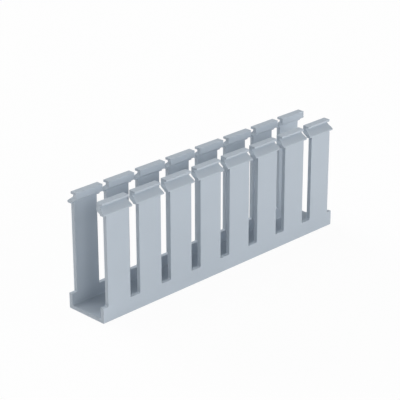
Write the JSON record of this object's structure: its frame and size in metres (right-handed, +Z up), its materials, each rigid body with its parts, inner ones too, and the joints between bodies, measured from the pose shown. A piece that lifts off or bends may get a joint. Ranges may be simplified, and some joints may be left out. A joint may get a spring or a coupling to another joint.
{
  "type": "slotted wire duct",
  "caption": "Open-slot wiring duct base: a U-shaped channel whose walls are cut into fingers with snap heads for a cover, with slotted screw holes in its floor.",
  "frame": {"origin": "centre of the duct's underside", "axes": "+X along the duct, +Y across it from wall to wall, +Z up from the floor to the finger heads"},
  "size_m": [0.16, 0.025, 0.059],
  "materials": {
    "rigid_pvc": "extruded light blue-grey rigid PVC, satin, with faint die lines along the duct"
  },
  "bodies": {
    "root": {"duct_base": "rigid_pvc"}
  },
  "joints": []
}
